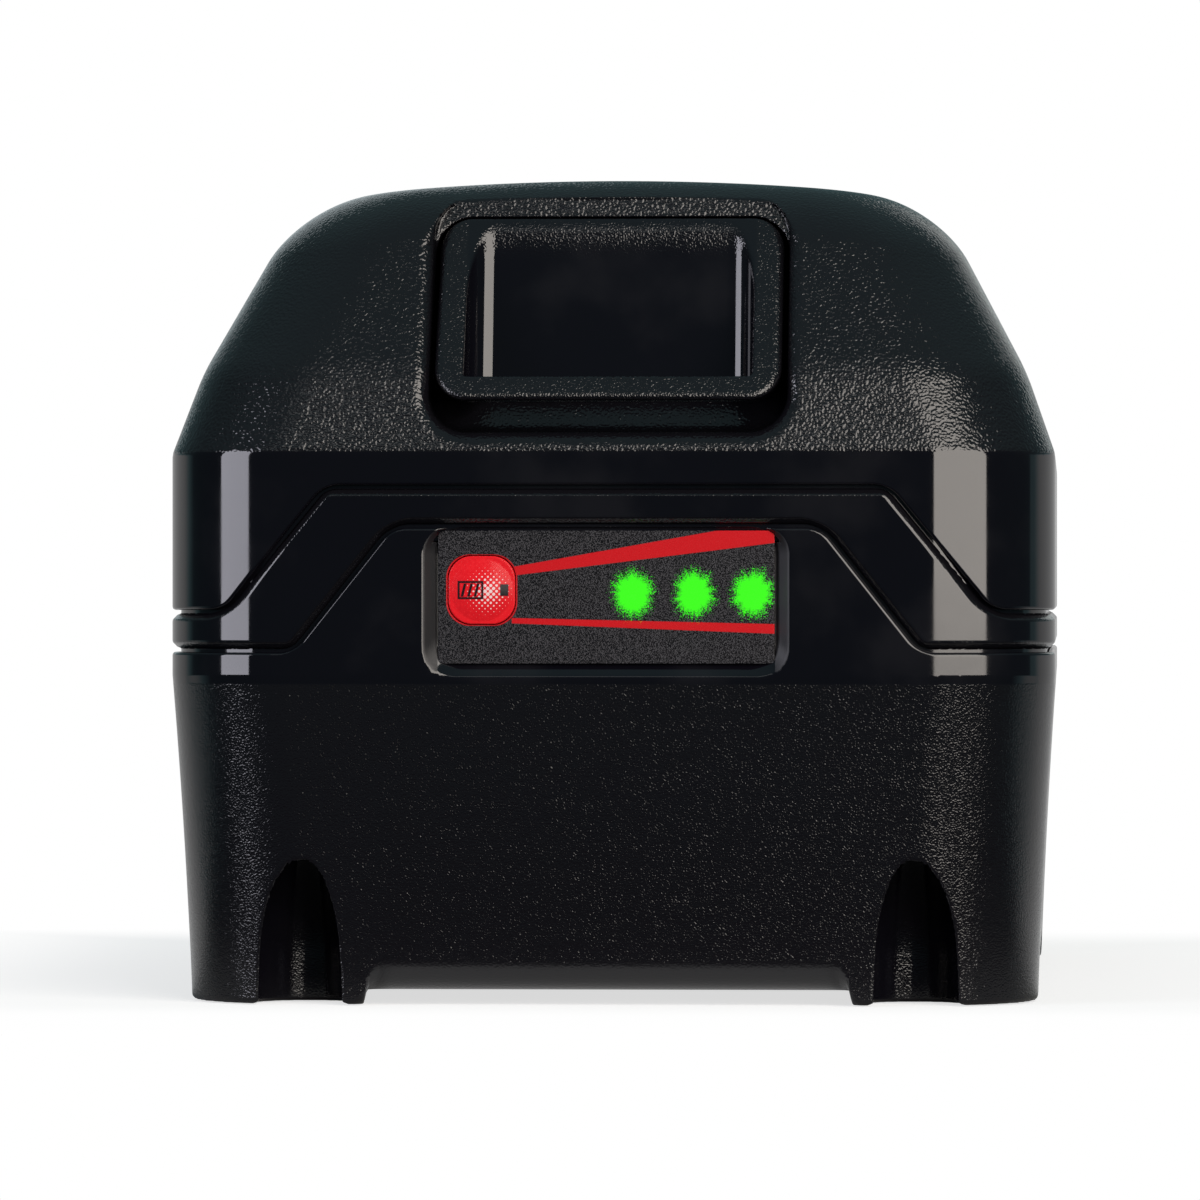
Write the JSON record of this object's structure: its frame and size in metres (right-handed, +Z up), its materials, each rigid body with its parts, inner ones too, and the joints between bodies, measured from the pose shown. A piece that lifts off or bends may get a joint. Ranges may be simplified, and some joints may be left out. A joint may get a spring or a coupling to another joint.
{
  "type": "power tool battery pack",
  "caption": "Slide-on cordless tool battery pack: black grained housing in two shells with a gloss band, rails and contacts on top, sprung release button, and a charge gauge with a red key.",
  "frame": {"origin": "centre of the pack's footprint, on the plane of its feet", "axes": "+Z up, +Y from the gauge end to the rear end that the tool slides on over, +X to the right seen from the gauge end"},
  "size_m": [0.076, 0.1168, 0.0712],
  "materials": {
    "housing_plastic": "black, fine leather grain with gloss bands",
    "band_plastic": "black gloss",
    "button_plastic": "black, grained rim around a smooth dish",
    "spring_steel": "bright wire",
    "inner_plastic": "black",
    "screw_steel": "plain steel",
    "label_film": "dark grey speckled film with red stripes",
    "key_plastic": "red gloss",
    "light_pipe": "clear green",
    "circuit_board": "green solder mask",
    "led_body": "pale yellow",
    "ribbon_film": "amber film",
    "contact_metal": "bare sheet metal",
    "capacitor_can": "sleeved can",
    "holder_plastic": "grey",
    "card": "insulating card",
    "nickel": "bare nickel",
    "copper": "bare copper strap",
    "cell_wrap": "shrink-wrapped steel can",
    "foam": "closed-cell foam"
  },
  "bodies": {
    "housing": {"lower_housing": "housing_plastic", "middle_band": "band_plastic", "upper_housing": "housing_plastic", "release_springs": "spring_steel", "latch_bracket": "inner_plastic", "bracket_screws": "screw_steel", "gauge_label": "label_film", "light_pipes": "light_pipe", "gauge_board": "circuit_board", "gauge_leds": "led_body", "tact_switch": "inner_plastic", "gauge_ribbon": "ribbon_film", "main_board": "circuit_board", "board_screws": "screw_steel", "terminal_block": "inner_plastic", "positive_contact": "contact_metal", "negative_contact": "contact_metal", "signal_contacts": "contact_metal", "power_transistors": "inner_plastic", "board_capacitor": "capacitor_can", "current_shunt": "screw_steel", "cell_holder_left": "holder_plastic", "cell_holder_right": "holder_plastic", "insulator_rings": "card", "nickel_strips_left": "nickel", "nickel_strips_right": "nickel", "positive_lead": "copper", "negative_lead": "copper", "balance_tabs": "nickel", "thermistor": "inner_plastic", "insulation_sheet_left": "card", "insulation_sheet_right": "card", "foam_pads": "foam", "housing_screws": "screw_steel", "lower_cell_1": "cell_wrap", "lower_cell_2": "cell_wrap", "lower_cell_3": "cell_wrap", "lower_cell_4": "cell_wrap", "lower_cell_5": "cell_wrap", "upper_cell_1": "cell_wrap", "upper_cell_2": "cell_wrap", "upper_cell_3": "cell_wrap", "upper_cell_4": "cell_wrap", "upper_cell_5": "cell_wrap"},
    "release": {"release_button": "button_plastic"},
    "gauge_key": {"gauge_button": "key_plastic"},
    "plunger": {"switch_plunger": "inner_plastic"}
  },
  "joints": [
    {"name": "release_slide", "type": "slide", "parent": "housing", "child": "release", "axis": [0, 0, -1], "range_m": [0, 0.0025], "stiffness_N_per_m": 1200, "springref_m": -0.003, "deforming": ["release_springs"]},
    {"name": "gauge_key_press", "type": "slide", "parent": "housing", "child": "gauge_key", "axis": [0, 1, 0], "range_m": [0, 0.0004], "stiffness_N_per_m": 2500, "springref_m": -0.0002},
    {"name": "plunger_press", "type": "slide", "parent": "housing", "child": "plunger", "axis": [0, 1, 0], "range_m": [0, 0.0004]}
  ],
  "couplings": [
    {"joint": "plunger_press", "follows": "gauge_key_press", "ratio": 1}
  ]
}
